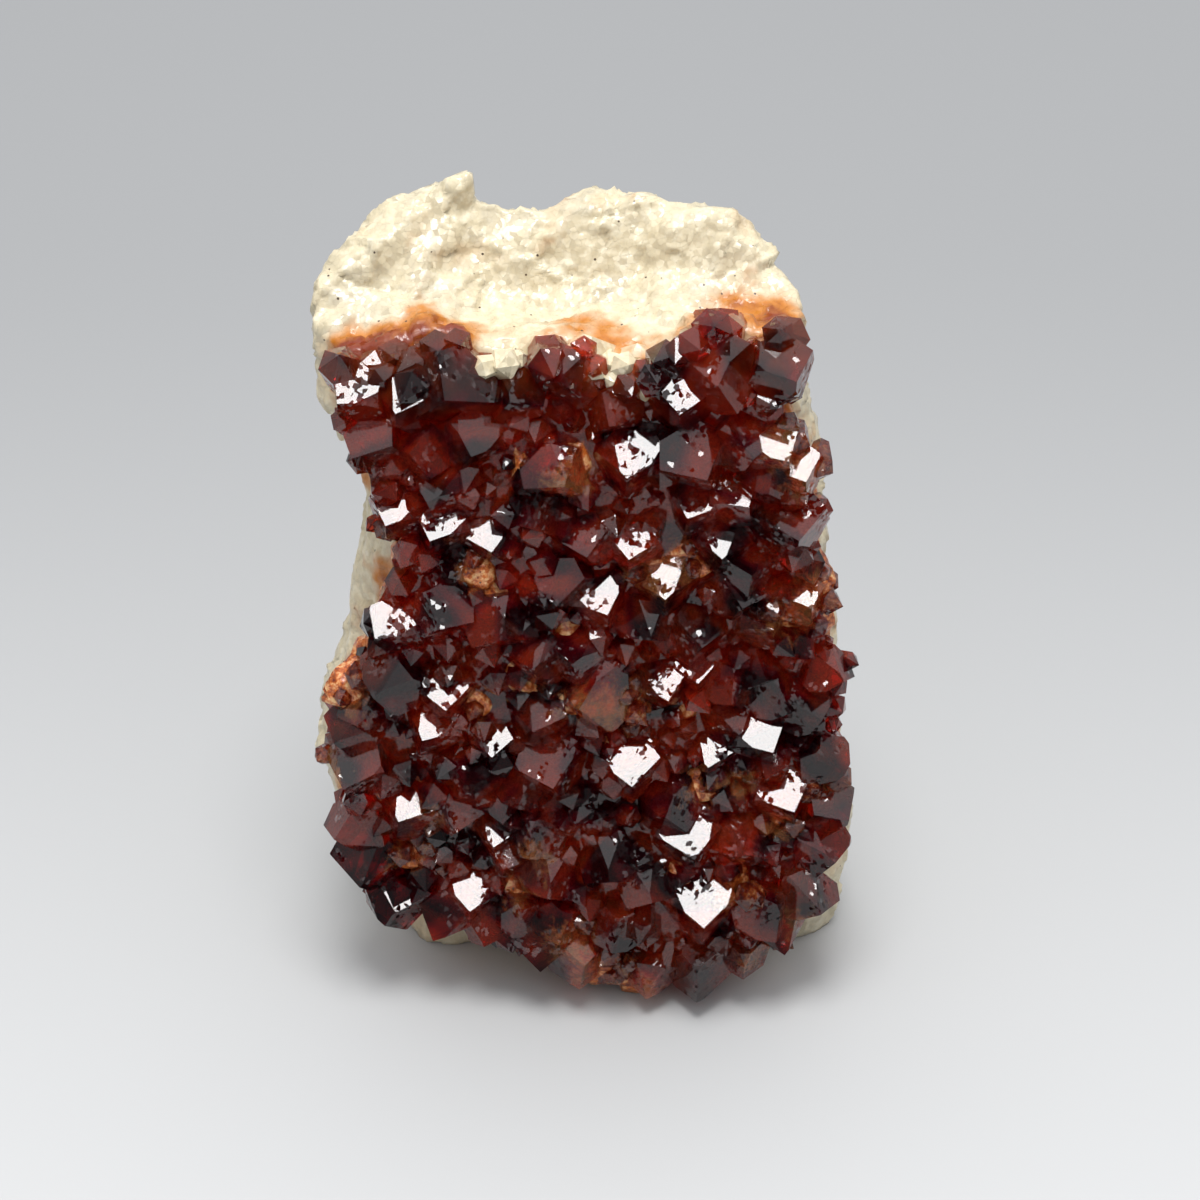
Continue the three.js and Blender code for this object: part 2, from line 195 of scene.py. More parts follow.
def chipped(tree, size_mm, tilt):
    """The height in metres of a surface broken into small planes, each at its own tilt."""
    place = add(tree, "ShaderNodeTexCoord").outputs["Object"]
    nearest = add(tree, "ShaderNodeTexVoronoi", {"Vector": place, "Scale": 1 / (size_mm * MM)}).outputs
    apart = add(tree, "ShaderNodeVectorMath", {0: place, 1: nearest["Position"]}, operation="SUBTRACT")
    lean = add(tree, "ShaderNodeVectorMath", {0: nearest["Color"], 1: (0.5, 0.5, 0.5)}, operation="SUBTRACT")
    both = {0: apart.outputs[0], 1: lean.outputs[0]}
    slope = add(tree, "ShaderNodeVectorMath", both, operation="DOT_PRODUCT")
    return maths(tree, "MULTIPLY", slope.outputs["Value"], 2 * tilt)


def attribute(tree, name):
    return add(tree, "ShaderNodeAttribute", attribute_name=name).outputs["Fac"]


def new_material(name):
    material = bpy.data.materials.new(name)
    material.use_nodes = True
    material.node_tree.nodes.clear()
    return material, material.node_tree


# %% [markdown]
# ## Heat-treated quartz
#
# The points are clear quartz, coloured dark red-brown by iron and heat. Natural quartz faces are as glossy as
# glass, with an IOR of 1.544, and the colour is in the depth of the crystal, so it comes from absorption:
# thin edges glow red and thick parts are nearly black. Iron and cracks inside the points add some opaque
# colour. In places the faces are etched with small chips, which stay dark where a face flashes.

# %% The citrine finish
QUARTZ_IOR = 1.544
ETCH_MM, ETCH_TILT = 0.7, 0.9


def etched_normal(tree, share):
    """The face's normal, tilted in some small chips where share is 1, and its own where share is 0."""
    chip_colour = cells(tree, ETCH_MM, output="Color")
    chosen = add(tree, "ShaderNodeSeparateColor", {"Color": chip_colour}).outputs[2]
    amount = maths(tree, "MULTIPLY", between(tree, chosen, 0.35, 0.7), ETCH_TILT)
    amount = maths(tree, "MULTIPLY", amount, share)
    lean = add(tree, "ShaderNodeVectorMath", {0: chip_colour, 1: (0.5, 0.5, 0.5)}, operation="SUBTRACT")
    scaled = {0: lean.outputs[0], "Scale": amount}
    tilt = add(tree, "ShaderNodeVectorMath", scaled, operation="SCALE").outputs[0]
    normal = add(tree, "ShaderNodeNewGeometry").outputs["Normal"]
    tilted = add(tree, "ShaderNodeVectorMath", {0: normal, 1: tilt}, operation="ADD").outputs[0]
    return add(tree, "ShaderNodeVectorMath", {0: tilted}, operation="NORMALIZE").outputs[0]


def heated_citrine():
    material, tree = new_material("heat_treated_citrine")
    etched = between(tree, patches(tree, 5, detail=1, offset=0.2), 0.5, 0.56)
    shade, rooty = two_patches(tree, 7.5, detail=1)
    body = ramp(tree, shade, (0.41, "2a0614"), (0.5, "7e1224"), (0.6, "dc482a"))
    grain = patches(tree, 1.4, roughness=0.7)
    cloud = maths(tree, "ADD", attribute(tree, "cloudy"), maths(tree, "MULTIPLY_ADD", grain, 1.6, -0.8))
    root = maths(tree, "MULTIPLY", attribute(tree, "root"), between(tree, rooty, 0.46, 0.58))
    colour = mixed(tree, maths(tree, "MULTIPLY", root, 0.9), body, "e05a24")
    colour = mixed(tree, attribute(tree, "amber_rim"), colour, "dc6c30")
    colour = mixed(tree, between(tree, cloud, 0.3, 0.95), colour, "f6a663")
    settings = {
        "Base Color": colour,
        "Roughness": 0.04,
        "IOR": QUARTZ_IOR,
        "Transmission Weight": 0.88,
        "Normal": etched_normal(tree, etched),
    }
    shader = add(tree, "ShaderNodeBsdfPrincipled", settings)
    depth = add(tree, "ShaderNodeVolumeAbsorption", {"Color": (0.82, 0.12, 0.26, 1), "Density": 400.0})
    sockets = {"Surface": shader.outputs[0], "Volume": depth.outputs[0]}
    add(tree, "ShaderNodeOutputMaterial", sockets)
    return material


def cloudy_citrine():
    """Points that are full of bubbles and iron: orange-brown, grainy and less see-through."""
    material, tree = new_material("cloudy_citrine")
    grain = patches(tree, 1.3, roughness=0.7)
    colour = ramp(tree, grain, (0.3, "501410"), (0.48, "8a3018"), (0.6, "b86030"), (0.75, "e4a878"))
    settings = {
        "Base Color": colour,
        "Roughness": 0.08,
        "IOR": QUARTZ_IOR,
        "Transmission Weight": 0.75,
        "Normal": etched_normal(tree, 0.7),
    }
    shader = add(tree, "ShaderNodeBsdfPrincipled", settings)
    depth = add(tree, "ShaderNodeVolumeAbsorption", {"Color": (0.85, 0.4, 0.2, 1), "Density": 200.0})
    sockets = {"Surface": shader.outputs[0], "Volume": depth.outputs[0]}
    add(tree, "ShaderNodeOutputMaterial", sockets)
    return material


# %% [markdown]
# ## Milky quartz
#
# The slab is massive quartz, white from tiny fluid bubbles, and broken by hand. It is cream, greyer where its
# grains are clearer, amber and rusty near the points, and peppered in places with dark iron specks. Small
# tilted chips make it sparkle.

# %% The milky quartz finish
SPECK_MM = 2.3
GRAIN_MM = 2.2


def milky_quartz():
    material, tree = new_material("milky_quartz")
    grain = patches(tree, GRAIN_MM, detail=3, roughness=0.65)
    colour = ramp(tree, grain, (0.32, "ccc1a4"), (0.5, "d7cbab"), (0.66, "e0d7bc"))
    clear, ochre = two_patches(tree, 9, detail=3, offset=0.4)
    colour = mixed(tree, maths(tree, "MULTIPLY", between(tree, clear, 0.5, 0.64), 0.28), colour, "b6b09d")
    colour = mixed(tree, maths(tree, "MULTIPLY", between(tree, ochre, 0.55, 0.7), 0.25), colour, "c4935c")
    ragged = maths(tree, "MULTIPLY_ADD", patches(tree, 10, detail=3, roughness=0.6, offset=0.7), 3.2, -1.75)
    stain = maths(tree, "ADD", attribute(tree, "stain"), ragged)
    colour = mixed(tree, between(tree, stain, 0.2, 1.0), colour, "bc741e")
    colour = mixed(tree, between(tree, stain, 0.85, 1.4), colour, "7a2c0a")
    rusty = patches(tree, 1.3, detail=3, roughness=0.7)
    inside = ramp(tree, rusty, (0.35, "6a200c"), (0.5, "c8682a"), (0.66, "f4c48a"))
    colour = mixed(tree, attribute(tree, "buried"), colour, inside)
    speck = between(tree, cells(tree, SPECK_MM), 0.1, 0.06)
    speck = maths(tree, "MULTIPLY", speck, between(tree, patches(tree, 12, detail=1, offset=1.3), 0.4, 0.46))
    colour = mixed(tree, speck, colour, "4a3828")
    height = chipped(tree, 0.9, 0.2)
    bump = add(tree, "ShaderNodeBump", {"Height": height, "Strength": 1.0, "Distance": 1.0})
    settings = {
        "Base Color": colour,
        "Roughness": 0.28,
        "IOR": QUARTZ_IOR,
        "Normal": bump.outputs["Normal"],
    }
    shader = add(tree, "ShaderNodeBsdfPrincipled", settings)
    add(tree, "ShaderNodeOutputMaterial", {"Surface": shader.outputs[0]})
    return material


citrine = heated_citrine()
cloudy = cloudy_citrine()
quartz = milky_quartz()


# %% [markdown]
# ## Working copies of the model's solids
#
# The model's meshes are loose triangles and aren't touched. A copy has its doubles merged, and becomes the
# start of a finished piece.


# %% Mesh helpers
MERGE_WITHIN_MM = 0.002


def merged_copy(node_name, name):
    """A new object whose mesh is a node's, with shared corners merged."""
    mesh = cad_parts[node_name].data.copy()
    mesh.name = name
    work = bmesh.new()
    work.from_mesh(mesh)
    bmesh.ops.remove_doubles(work, verts=work.verts, dist=MERGE_WITHIN_MM * MM)
    work.to_mesh(mesh)
    work.free()
    mesh.materials.clear()
    for polygon in mesh.polygons:
        polygon.use_smooth = False
    return linked(bpy.data.objects.new(name, mesh))


def linked(piece):
    bpy.context.scene.collection.objects.link(piece)
    return piece


def with_modifiers_applied(piece):
    """The piece's evaluated mesh becomes its own, and its modifiers are removed."""
    bpy.context.view_layer.update()
    evaluated = piece.evaluated_get(bpy.context.evaluated_depsgraph_get())
    mesh = bpy.data.meshes.new_from_object(evaluated)
    piece.modifiers.clear()
    piece.data = mesh
    return piece


def vertex_array(mesh, field="co"):
    values = np.zeros(len(mesh.vertices) * 3)
    mesh.vertices.foreach_get(field, values)
    return values.reshape(-1, 3)


def store(mesh, name, values, kind="FLOAT", domain="POINT"):
    """Keeps one value or vector for each corner point or face, for materials and geometry nodes."""
    layer = mesh.attributes.get(name) or mesh.attributes.new(name, kind, domain)
    layer.data.foreach_set("value" if kind == "FLOAT" else "vector", np.asarray(values, float).ravel())


def face_array(mesh, field, size=1):
    values = np.zeros(len(mesh.polygons) * size)
    mesh.polygons.foreach_get(field, values)
    return values.reshape(-1, size) if size > 1 else values


def rise(t, low, high):
    """A soft rise from 0 to 1 as t goes from low to high."""
    s = np.clip((t - low) / (high - low), 0, 1)
    return s * s * (3 - 2 * s)


def surface_of(piece):
    bpy.context.view_layer.update()
    return BVHTree.FromObject(piece, bpy.context.evaluated_depsgraph_get())


def distances_to(surface, points):
    """The distance in millimetres from each world point to a surface."""
    return np.array([surface.find_nearest(Vector(p))[3] for p in points]) / MM


# %% [markdown]
# ## The crust of points
#
# Between the large points of the model there are hundreds of small ones. They follow a rule, so Geometry
# Nodes grow them: they start on the low and narrow faces of the crust, at least a few millimetres apart, and
# each is a six-sided point with its own size, turn and lean. They are then joined to the crust with a
# boolean, so that no wall is left inside the clear quartz. In some places the points are cloudy and orange,
# and in two tongues at the top edge they are white. Those are pieces of their own, with their own finishes.

# %% Where small points can grow
SLAB_NAME, CRUST_NAME = "quartz_matrix", "citrine_crystals"
# How much the points fan to the sides, hang at the bottom and lift at the top, and where up the slab they do.
FAN_HALF_WIDTH = 40
FAN_SHARE, HANG_SHARE, LIFT_SHARE = 0.75, 0.95, 0.25
HANG_UP, LIFT_UP = (2, 34), (95, 115)
ROOM_HEIGHT_MM = 6.0
NARROW_FACE_MM2 = 9.0
TOP_RIM_UP = 104
TONGUES_END_UP = 110.5
# Tongues of white quartz that reach down into the crust's top edge: the place across, and half the width.
WHITE_TONGUES = [(-11.5, 3.5), (4.5, 4.5)]
# The cloudy places: across and up the slab, and the radius, all in millimetres.
CLOUDY_PLACES = [
    (31, 73, 3.4), (29, 103, 3.2), (15, 83, 3.0), (32, 97, 2.8), (-3, 16, 3.4), (9, 7, 3.0),
    (1, 9, 3.4), (-2, 98, 3.2), (-7, 33, 2.4), (-28, 29, 2.8), (27, 11, 2.6), (-35, 59, 2.6),
    (6, 59, 3.0), (1, 60, 3.6), (38, 41, 2.4), (22, 24, 2.4), (9, 81, 2.8), (-25, 38, 2.8),
    (34, 78, 2.6), (24, 44, 2.2), (-16, 59, 2.2), (30, 36, 2.2), (-30, 86, 2.2), (34, 20, 2.4),
    (-16, 82, 2.4), (-10, 25, 2.4), (17, 42, 2.2), (-39, 47, 2.2),
]
cad_slab = merged_copy(SLAB_NAME, "slab_work")
crust = merged_copy(CRUST_NAME, "citrine_points")
slab_surface = surface_of(cad_slab)


def cloudiness(points):
    """How cloudy the quartz is at world points: 1 in the middle of a cloudy place, and 0 well outside it."""
    across, up, out = slab_coordinates(points).T
    share = np.zeros(len(points))
    for place_across, place_up, radius in CLOUDY_PLACES:
        apart = np.hypot(across - place_across, up - place_up)
        share = np.maximum(share, 1 - rise(apart, 0.7 * radius, 1.7 * radius))
    return share


def whiteness(points):
    """1 along the middle of a white tongue, 0.5 at its edge, and 0 farther off."""
    across = slab_coordinates(points)[:, 0]
    shares = [1 - rise(abs(across - middle), 0.6 * half, 1.4 * half) for middle, half in WHITE_TONGUES]
    return np.max(shares, axis=0)


def growth_at(points):
    """The way that points grow: out from the slab, fanning to the sides and hanging at the bottom."""
    across, up, out = slab_coordinates(points).T
    growth = (
        np.outer(FAN_SHARE * (across / FAN_HALF_WIDTH) ** 3, ACROSS)
        + np.outer(-HANG_SHARE * (1 - rise(up, *HANG_UP)) ** 1.3 + LIFT_SHARE * rise(up, *LIFT_UP), UP)
        + np.array(OUT)
    )
    return growth / np.linalg.norm(growth, axis=1)[:, None]


# %% Marking the faces
centres = face_array(crust.data, "center", 3)
normals = face_array(crust.data, "normal", 3)
facing = (normals * growth_at(centres)).sum(axis=1)
areas = face_array(crust.data, "area") / MM**2
low = distances_to(slab_surface, centres) < ROOM_HEIGHT_MM
# Small points start on faces that don't look back at the slab, and on broad faces only if they look out.
free = low & (facing > -0.4) & ((areas < NARROW_FACE_MM2) | (facing > 0.9))
top_rim = (normals @ np.array(UP) > 0.45) & (slab_coordinates(centres)[:, 1] > TOP_RIM_UP) & low
cloudy_here = cloudiness(centres)
store(crust.data, "room", free & ~top_rim & (cloudy_here < 0.6), domain="FACE")
store(crust.data, "cloudy_room", free & (cloudy_here > 0.4), domain="FACE")
store(crust.data, "citrine_rim", top_rim & (whiteness(centres) < 0.5), domain="FACE")
in_tongue = (whiteness(centres) > 0.5) & (slab_coordinates(centres)[:, 1] > TONGUES_END_UP)
store(crust.data, "milky_rim", in_tongue & low & (facing > -0.2), domain="FACE")
store(crust.data, "growth", growth_at(vertex_array(crust.data)), "FLOAT_VECTOR")
print("share of faces with room for small points:", round(float(free.mean()), 2))


# %% A tree that grows small points
STARTS_APART_MM = 1.6


def small_points_tree():
    tree = bpy.data.node_groups.new("small_points", "GeometryNodeTree")
    inputs = [
        ("Geometry", "NodeSocketGeometry", None),
        ("Spacing", "NodeSocketFloat", None),
        ("Smallest", "NodeSocketFloat", None),
        ("Largest", "NodeSocketFloat", None),
        ("Lean", "NodeSocketFloat", 0.55),
        ("Seed", "NodeSocketInt", None),
        ("Where", "NodeSocketString", "room"),
        ("Finish", "NodeSocketMaterial", citrine),
    ]
    for name, kind, value in inputs:
        socket = tree.interface.new_socket(name, in_out="INPUT", socket_type=kind)
        if value is not None:
            socket.default_value = value
    tree.interface.new_socket("Geometry", in_out="OUTPUT", socket_type="NodeSocketGeometry")
    given = add(tree, "NodeGroupInput").outputs

    scatter = add(
        tree,
        "GeometryNodeDistributePointsOnFaces",
        {
            "Mesh": given["Geometry"],
            "Distance Min": given["Spacing"],
            "Density Max": 1 / (STARTS_APART_MM * MM) ** 2,
            "Selection": named_float(tree, given["Where"]),
            "Seed": given["Seed"],
        },
        distribute_method="POISSON",
    )
    lean = random_vector(tree, 11)
    scaled = add(tree, "ShaderNodeVectorMath", {0: lean, "Scale": given["Lean"]}, operation="SCALE")
    growth = add(tree, "GeometryNodeInputNamedAttribute", {"Name": "growth"}, data_type="FLOAT_VECTOR")
    leaning = {0: growth.outputs["Attribute"], 1: scaled.outputs[0]}
    direction = add(tree, "ShaderNodeVectorMath", leaning, operation="ADD")
    turn = add(tree, "FunctionNodeAlignRotationToVector", {"Vector": direction.outputs[0]}, axis="Z")
    spin = add(tree, "FunctionNodeRandomValue", {2: 0.0, 3: math.pi / 3, "Seed": 12}, data_type="FLOAT")
    spun = add(
        tree,
        "FunctionNodeRotateRotation",
        {"Rotation": turn.outputs[0], "Rotate By": euler_z(tree, spin.outputs[1])},
        rotation_space="LOCAL",
    )
    size = add(
        tree,
        "FunctionNodeRandomValue",
        {2: given["Smallest"], 3: given["Largest"], "Seed": 13},
        data_type="FLOAT",
    )
    crystal = unit_crystal(tree)
    placed = add(
        tree,
        "GeometryNodeInstanceOnPoints",
        {
            "Points": scatter.outputs["Points"],
            "Instance": crystal,
            "Rotation": spun.outputs[0],
            "Scale": size.outputs[1],
        },
    )
    real = add(tree, "GeometryNodeRealizeInstances", {"Geometry": placed.outputs[0]})
    dressed = {"Geometry": real.outputs[0], "Material": given["Finish"]}
    coated = add(tree, "GeometryNodeSetMaterial", dressed)
    add(tree, "NodeGroupOutput", {"Geometry": coated.outputs[0]})
    return tree


def named_float(tree, name):
    node = add(tree, "GeometryNodeInputNamedAttribute", {"Name": name}, data_type="FLOAT")
    return node.outputs["Attribute"]


def random_vector(tree, seed):
    limits = {0: (-1, -1, -1), 1: (1, 1, 1), "Seed": seed}
    return add(tree, "FunctionNodeRandomValue", limits, data_type="FLOAT_VECTOR").outputs[0]


def euler_z(tree, angle):
    """A rotation about Z, as a socket."""
    vector = add(tree, "ShaderNodeCombineXYZ", {"Z": angle})
    return add(tree, "FunctionNodeEulerToRotation", {"Euler": vector.outputs[0]}).outputs[0]


# The small crystal has a radius of 1. Its pyramid slopes as quartz does, and its sides close in to the root.
PYRAMID_HEIGHT = math.tan(math.radians(51.8)) * math.cos(math.pi / 6)
SIDE_HEIGHT, ROOT_RADIUS, ROOT_DEPTH = 0.5, 0.55, 2.2


def unit_crystal(tree):
    both = tree.nodes.new("GeometryNodeJoinGeometry")
    for radius_top, radius_bottom, depth, height in (
        (0.0, 1.0, PYRAMID_HEIGHT, SIDE_HEIGHT),
        (1.0, ROOT_RADIUS, ROOT_DEPTH, SIDE_HEIGHT - ROOT_DEPTH),
    ):
        cone = {"Vertices": 6, "Radius Top": radius_top, "Radius Bottom": radius_bottom, "Depth": depth}
        mesh = add(tree, "GeometryNodeMeshCone", cone).outputs["Mesh"]
        tree.links.new(moved(tree, mesh, height), both.inputs[0])
    return add(tree, "GeometryNodeConvexHull", {"Geometry": both.outputs[0]}).outputs[0]


def moved(tree, geometry, height):
    node = add(tree, "GeometryNodeTransform", {"Geometry": geometry, "Translation": (0, 0, height)})
    return node.outputs[0]


# %% Growing the small points
def set_input(modifier, name, value):
    sockets = modifier.node_group.interface.items_tree
    identifier = next(s.identifier for s in sockets if s.name == name and s.in_out == "INPUT")
    modifier[identifier] = value


def grown_points(on, radii_mm, spacing_mm, **settings):
    """A new object with small points on the marked faces of a piece, as a plain mesh."""
    piece = linked(bpy.data.objects.new("small_points", on.data.copy()))
    modifier = piece.modifiers.new("grow", "NODES")
    modifier.node_group = small_points_tree()
    smallest, largest = radii_mm
    sizes = {"Smallest": smallest * MM, "Largest": largest * MM, "Spacing": spacing_mm * MM}
    for name, value in (sizes | settings).items():
        set_input(modifier, name, value)
    return with_modifiers_applied(piece)


small = grown_points(crust, (1.1, 2.9), 2.6, Seed=5)
cloudy_small = grown_points(crust, (1.2, 2.7), 2.4, Seed=9, Lean=0.7, Where="cloudy_room", Finish=cloudy)
rim_small = grown_points(crust, (1.8, 3.8), 2.8, Seed=2, Lean=0.6, Where="citrine_rim")
milky_small = grown_points(crust, (1.3, 2.9), 1.9, Seed=3, Lean=0.7, Where="milky_rim", Finish=quartz)


# %% [markdown]
# A boolean wants solids that don't overlap themselves. So the small points are dealt into groups in which
# none touches another, and the groups are joined to the crust one after another.


# %% Joining the small points to the crust
def islands_of(mesh):
    """The corners of each separate crystal, as lists of their numbers in the mesh."""
    work = bmesh.new()
    work.from_mesh(mesh)
    work.verts.ensure_lookup_table()
    seen, found = set(), []
    for start in work.verts:
        if start.index in seen:
            continue
        stack, members = [start], []
        seen.add(start.index)
        while stack:
            vertex = stack.pop()
            members.append(vertex.index)
            for edge in vertex.link_edges:
                other = edge.other_vert(vertex)
                if other.index not in seen:
                    seen.add(other.index)
                    stack.append(other)
        found.append(sorted(members))
    work.free()
    return found


def dealt_into_groups(mesh):
    """Lists of islands in which no two come near each other."""
    points = vertex_array(mesh)
    groups = []
    for island in islands_of(mesh):
        middle = points[island].mean(axis=0)
        radius = np.linalg.norm(points[island] - middle, axis=1).max()
        for group in groups:
            if all(np.linalg.norm(middle - m) > radius + r for m, r, _ in group):
                break
        else:
            group = []
            groups.append(group)
        group.append((middle, radius, island))
    return groups


def mesh_of_islands(mesh, islands):
    """A new mesh of some of the crystals."""
    points = vertex_array(mesh)
    members = [v for island in islands for v in island]
    new_number = {v: i for i, v in enumerate(members)}
    faces = [[new_number[v] for v in p.vertices] for p in mesh.polygons if p.vertices[0] in new_number]
    part = bpy.data.meshes.new("part")
    part.from_pydata(points[members], [], faces)
    return part


def fused(extra, piece=None):
    """The union of many small solids that may overlap, and of the piece, if there is one."""
    for group in dealt_into_groups(extra.data):
        islands = [island for middle, radius, island in group]
        part = linked(bpy.data.objects.new("part", mesh_of_islands(extra.data, islands)))
        if piece is None:
            piece = part
            continue
        modifier = piece.modifiers.new("join", "BOOLEAN")
        modifier.operation = "UNION"
        modifier.solver = "MANIFOLD"
        modifier.object = part
        with_modifiers_applied(piece)
        bpy.data.objects.remove(part)
    bpy.data.objects.remove(extra)
    return piece


def closed(mesh):
    work = bmesh.new()
    work.from_mesh(mesh)
    result = all(edge.is_manifold for edge in work.edges)
    work.free()
    return result


def finished(piece, finish):
    piece.data.materials.clear()
    piece.data.materials.append(finish)


print("small points:", len(islands_of(small.data)), "cloudy ones:", len(islands_of(cloudy_small.data)))
crust = fused(rim_small, fused(small, crust))
cloudy_points = fused(cloudy_small)
cloudy_points.name = "cloudy_points"
milky_points = fused(milky_small)
milky_points.name = "milky_points"
for piece in (crust, cloudy_points, milky_points):
    print(piece.name, "faces:", len(piece.data.polygons), "closed:", closed(piece.data))

# %% Where roots and rims take another colour
root_height = distances_to(slab_surface, vertex_array(crust.data))
store(crust.data, "cloudy", cloudiness(vertex_array(crust.data)))
store(crust.data, "root", 1 - rise(root_height, 3, 11))
rim_up = slab_coordinates(vertex_array(crust.data))[:, 1]
store(crust.data, "amber_rim", rise(rim_up, TOP_RIM_UP, TOP_RIM_UP + 9) * (1 - rise(root_height, 2, 8)))
finished(crust, citrine)
finished(cloudy_points, cloudy)
finished(milky_points, quartz)
store(milky_points.data, "stain", 0.95 - 0.6 * whiteness(vertex_array(milky_points.data)))

# %% [markdown]
# ## The slab
#
# The model's slab is coarse. Its copy is remeshed evenly, its facets are softened, and it is then carved like
# broken quartz: each chip is a small plane at its own tilt. Behind the crust it is pushed into the points, so
# that no air is left between the two, and it rises there in mounds, which show orange through the points.

# %% Carving the slab
VOXEL_MM = 0.66
# The chips: how wide each kind is in millimetres, how steep at most, and its seed.
CHIPS = ((9.0, 0.09, 1), (4.2, 0.12, 2), (2.0, 0.12, 3))
FLAT_BELOW_MM = 2.5
BEHIND_MM = (0.6, 1.5)
EMBED_MM = 1.3
STAIN_REACH_MM = 10
# The mounds behind the crust: how wide and high they are, what noise and cloudy places add, and a limit.
MOUND_WIDTH_MM, MOUND_MM = 7.0, 3.4
MOUND_NOISE, MOUND_CLOUDY, MOUND_LIMIT = 1.9, 1.1, 1.3
crust_surface = surface_of(crust)


def chip_heights(points_mm, size, steepness, seed):
    """How far each point is raised by the tilted plane of the chip that it lies in."""
    random = np.random.default_rng(seed)
    lowest, highest = points_mm.min(axis=0) - size, points_mm.max(axis=0) + size
    count = int(np.prod((highest - lowest) / size))
    middles = random.uniform(lowest, highest, (count, 3))
    tilts = random.uniform(-steepness, steepness, (count, 3))
    tree = KDTree(count)
    for i, middle in enumerate(middles):
        tree.insert(middle, i)
    tree.balance()
    nearest = [tree.find(point)[1] for point in points_mm]
    return ((points_mm - middles[nearest]) * tilts[nearest]).sum(axis=1)


def carved(piece):
    remesh = piece.modifiers.new("even", "REMESH")
    remesh.mode = "VOXEL"
    remesh.voxel_size = VOXEL_MM * MM
    smooth = piece.modifiers.new("soften", "SMOOTH")
    smooth.factor = 0.5
    smooth.iterations = 6
    with_modifiers_applied(piece)
    mesh = piece.data
    points = vertex_array(mesh)
    normals = vertex_array(mesh, "normal")
    to_crust = distances_to(crust_surface, points)
    behind = 1 - rise(to_crust, *BEHIND_MM)
    above_cut = rise(points[:, 2] / MM, 0.4, FLAT_BELOW_MM)
    raised = sum(chip_heights(points / MM, size, steepness, seed) for size, steepness, seed in CHIPS)
    waves = [noise.noise(Vector(p) / MM / MOUND_WIDTH_MM) * MOUND_NOISE for p in points]
    mounds = np.maximum(waves, 0.0) + MOUND_CLOUDY * cloudiness(points)
    mounds = np.minimum(mounds, MOUND_LIMIT) * rise(normals @ np.array(OUT), 0.5, 0.85)
    below_rim = 1 - rise(slab_coordinates(points)[:, 1], TOP_RIM_UP - 4, TOP_RIM_UP + 5)
    mounds *= below_rim
    pushed = EMBED_MM + MOUND_MM * mounds
    moved_by = above_cut * (raised * (1 - 0.6 * behind) + pushed * behind)
    points = points + normals * (moved_by * MM)[:, None]
    points[:, 2] = np.maximum(points[:, 2], 0)
    points[above_cut <= 0, 2] = 0
    mesh.vertices.foreach_set("co", points.ravel())
    mesh.update()
    near = distances_to(crust_surface, points)
    store(mesh, "stain", (1 - rise(near, 0.3, STAIN_REACH_MM)) * (1 - 0.2 * whiteness(points)))
    store(mesh, "buried", behind * below_rim)
    for polygon in mesh.polygons:
        polygon.use_smooth = True
    finished(piece, quartz)
    return piece


slab = carved(cad_slab)
slab.name = "milky_quartz_slab"
print("slab faces:", len(slab.data.polygons))

# %% [markdown]
# ## The studio
#
# The cluster stands on a wide pale card with painted shade: its colour darkens towards the back. One round
# soft box hangs nearly overhead, and is what the faces that look up flash back. The rest is the soft light of
# a white ceiling.

# %% The pale card, with painted shade
CARD_HALF_WIDTH = 3.5
# Where along Y the card's painted shade starts and where it is full, in metres.
CARD_SHADE_STARTS_AT, CARD_SHADE_FULL_AT = -0.22, 0.22


def pale_card():
    bpy.ops.mesh.primitive_plane_add(size=2 * CARD_HALF_WIDTH)
    card = bpy.context.active_object
    card.name = "pale_card"
    material, tree = new_material("card_with_painted_shade")
    place = add(tree, "ShaderNodeTexCoord").outputs["Object"]
    depth = add(tree, "ShaderNodeSeparateXYZ", {"Vector": place}).outputs["Y"]
    # Painted shade: the card's colour darkens from front to back, standing in for light that falls off behind
    # the cluster.
    colour = ramp(tree, between(tree, depth, CARD_SHADE_STARTS_AT, CARD_SHADE_FULL_AT), (0.0, "c8caca"), (1.0, "969899"))
    shader = add(tree, "ShaderNodeBsdfPrincipled", {"Base Color": colour, "Roughness": 0.7})
    add(tree, "ShaderNodeOutputMaterial", {"Surface": shader.outputs[0]})
    card.data.materials.append(material)
    return card


pale_card()

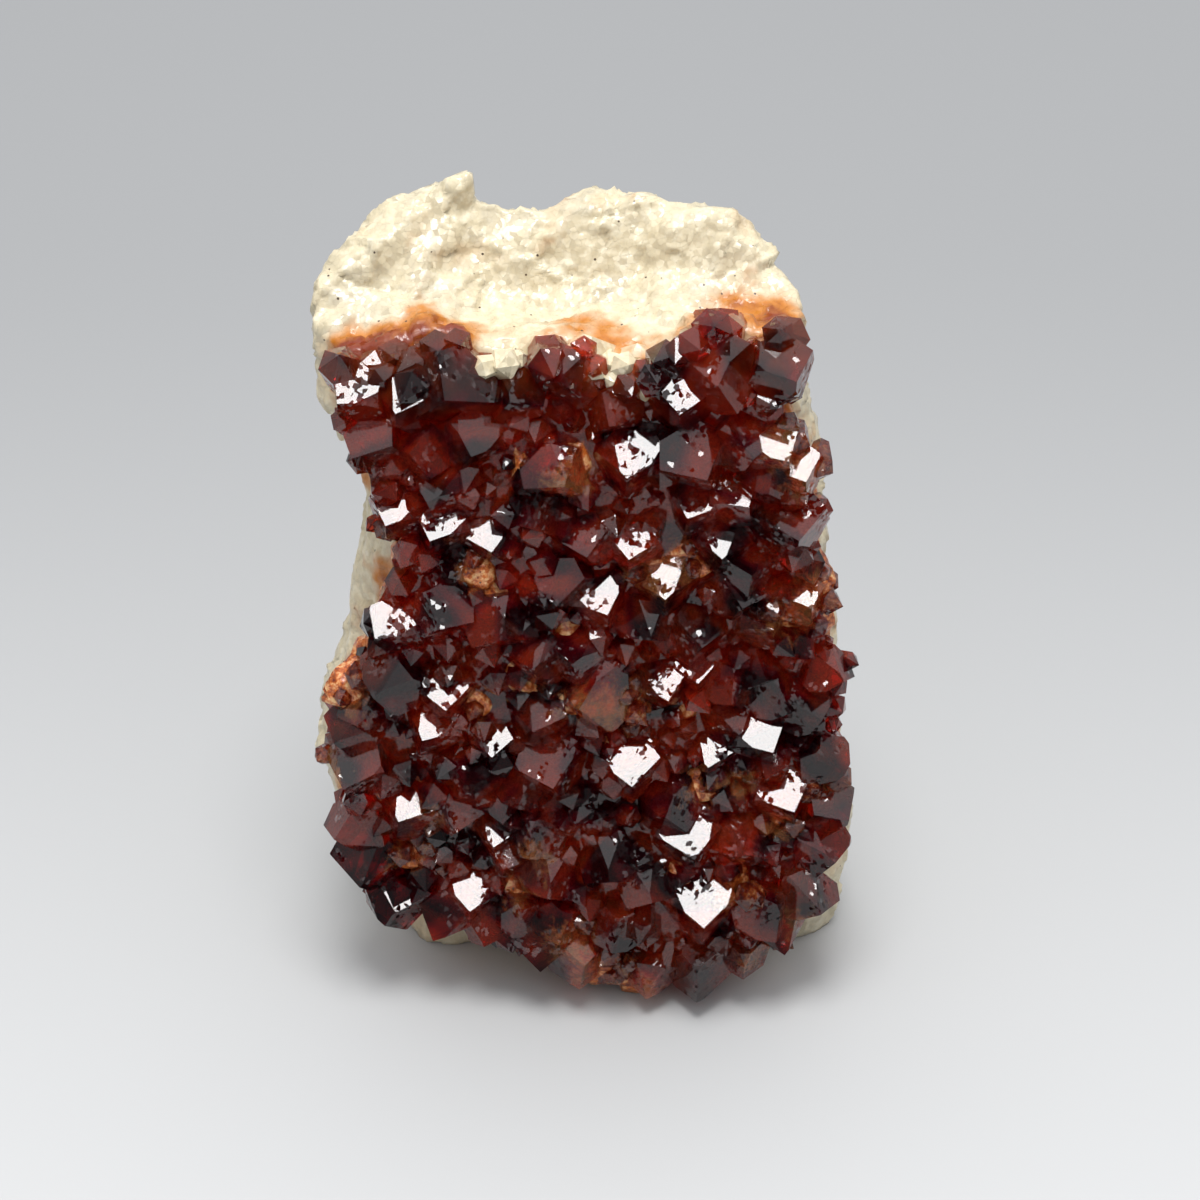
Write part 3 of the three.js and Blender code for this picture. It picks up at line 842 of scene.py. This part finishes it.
# %% The lights
LAMP_ELEVATION = math.radians(81.6)
LAMP_DISTANCE = 0.9
LAMP_HALF_ANGLE = math.radians(12.2)
LAMP_RADIANCE = 18
CEILING_RADIANCE = 1.6
FRONT_RADIANCE, BACK_RADIANCE = 0.18, 0.5


def lamp():
    data = bpy.data.lights.new("soft_box", "AREA")
    data.shape = "DISK"
    radius = LAMP_DISTANCE * math.tan(LAMP_HALF_ANGLE)
    data.size = 2 * radius
    # A flat lamp's power is its radiance times pi times its area.
    data.energy = LAMP_RADIANCE * math.pi * math.pi * radius**2
    data.color = (1.0, 0.98, 0.97)
    towards_lamp = Vector((0, -math.cos(LAMP_ELEVATION), math.sin(LAMP_ELEVATION)))
    piece = linked(bpy.data.objects.new("soft_box", data))
    piece.location = LOOK_AT + towards_lamp * LAMP_DISTANCE
    piece.rotation_euler = towards_lamp.to_track_quat("Z", "Y").to_euler()


def room_light():
    world = bpy.data.worlds.new("studio")
    bpy.context.scene.world = world
    world.use_nodes = True
    tree = world.node_tree
    tree.nodes.clear()
    direction = add(tree, "ShaderNodeTexCoord").outputs["Generated"]
    parts = add(tree, "ShaderNodeSeparateXYZ", {"Vector": direction}).outputs
    horizon = maths(tree, "MULTIPLY_ADD", between(tree, parts["Y"], -0.1, 0.6), BACK_RADIANCE, FRONT_RADIANCE)
    ceiling = maths(tree, "SUBTRACT", CEILING_RADIANCE, horizon)
    strength = maths(tree, "MULTIPLY_ADD", between(tree, parts["Z"], 0.4, 0.85), ceiling, horizon)
    shader = add(tree, "ShaderNodeBackground", {"Color": linear("f3f3f6"), "Strength": strength})
    add(tree, "ShaderNodeOutputWorld", {"Surface": shader.outputs[0]})


lamp()
room_light()

# %% [markdown]
# ## The pieces and their body
#
# Each piece is listed with the model's solid that it stands for and the name of its finish. That solid is
# hidden, and as there are no joints, all of the pieces ride on the one body.

# %% Pieces and frame
PIECES = (
    (slab, SLAB_NAME, "milky_quartz"),
    (milky_points, SLAB_NAME, "milky_quartz"),
    (crust, CRUST_NAME, "citrine"),
    (cloudy_points, CRUST_NAME, "citrine"),
)
for piece, node_name, slot_name in PIECES:
    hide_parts(node_name)
    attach(piece, "root")

bpy.context.view_layer.update()
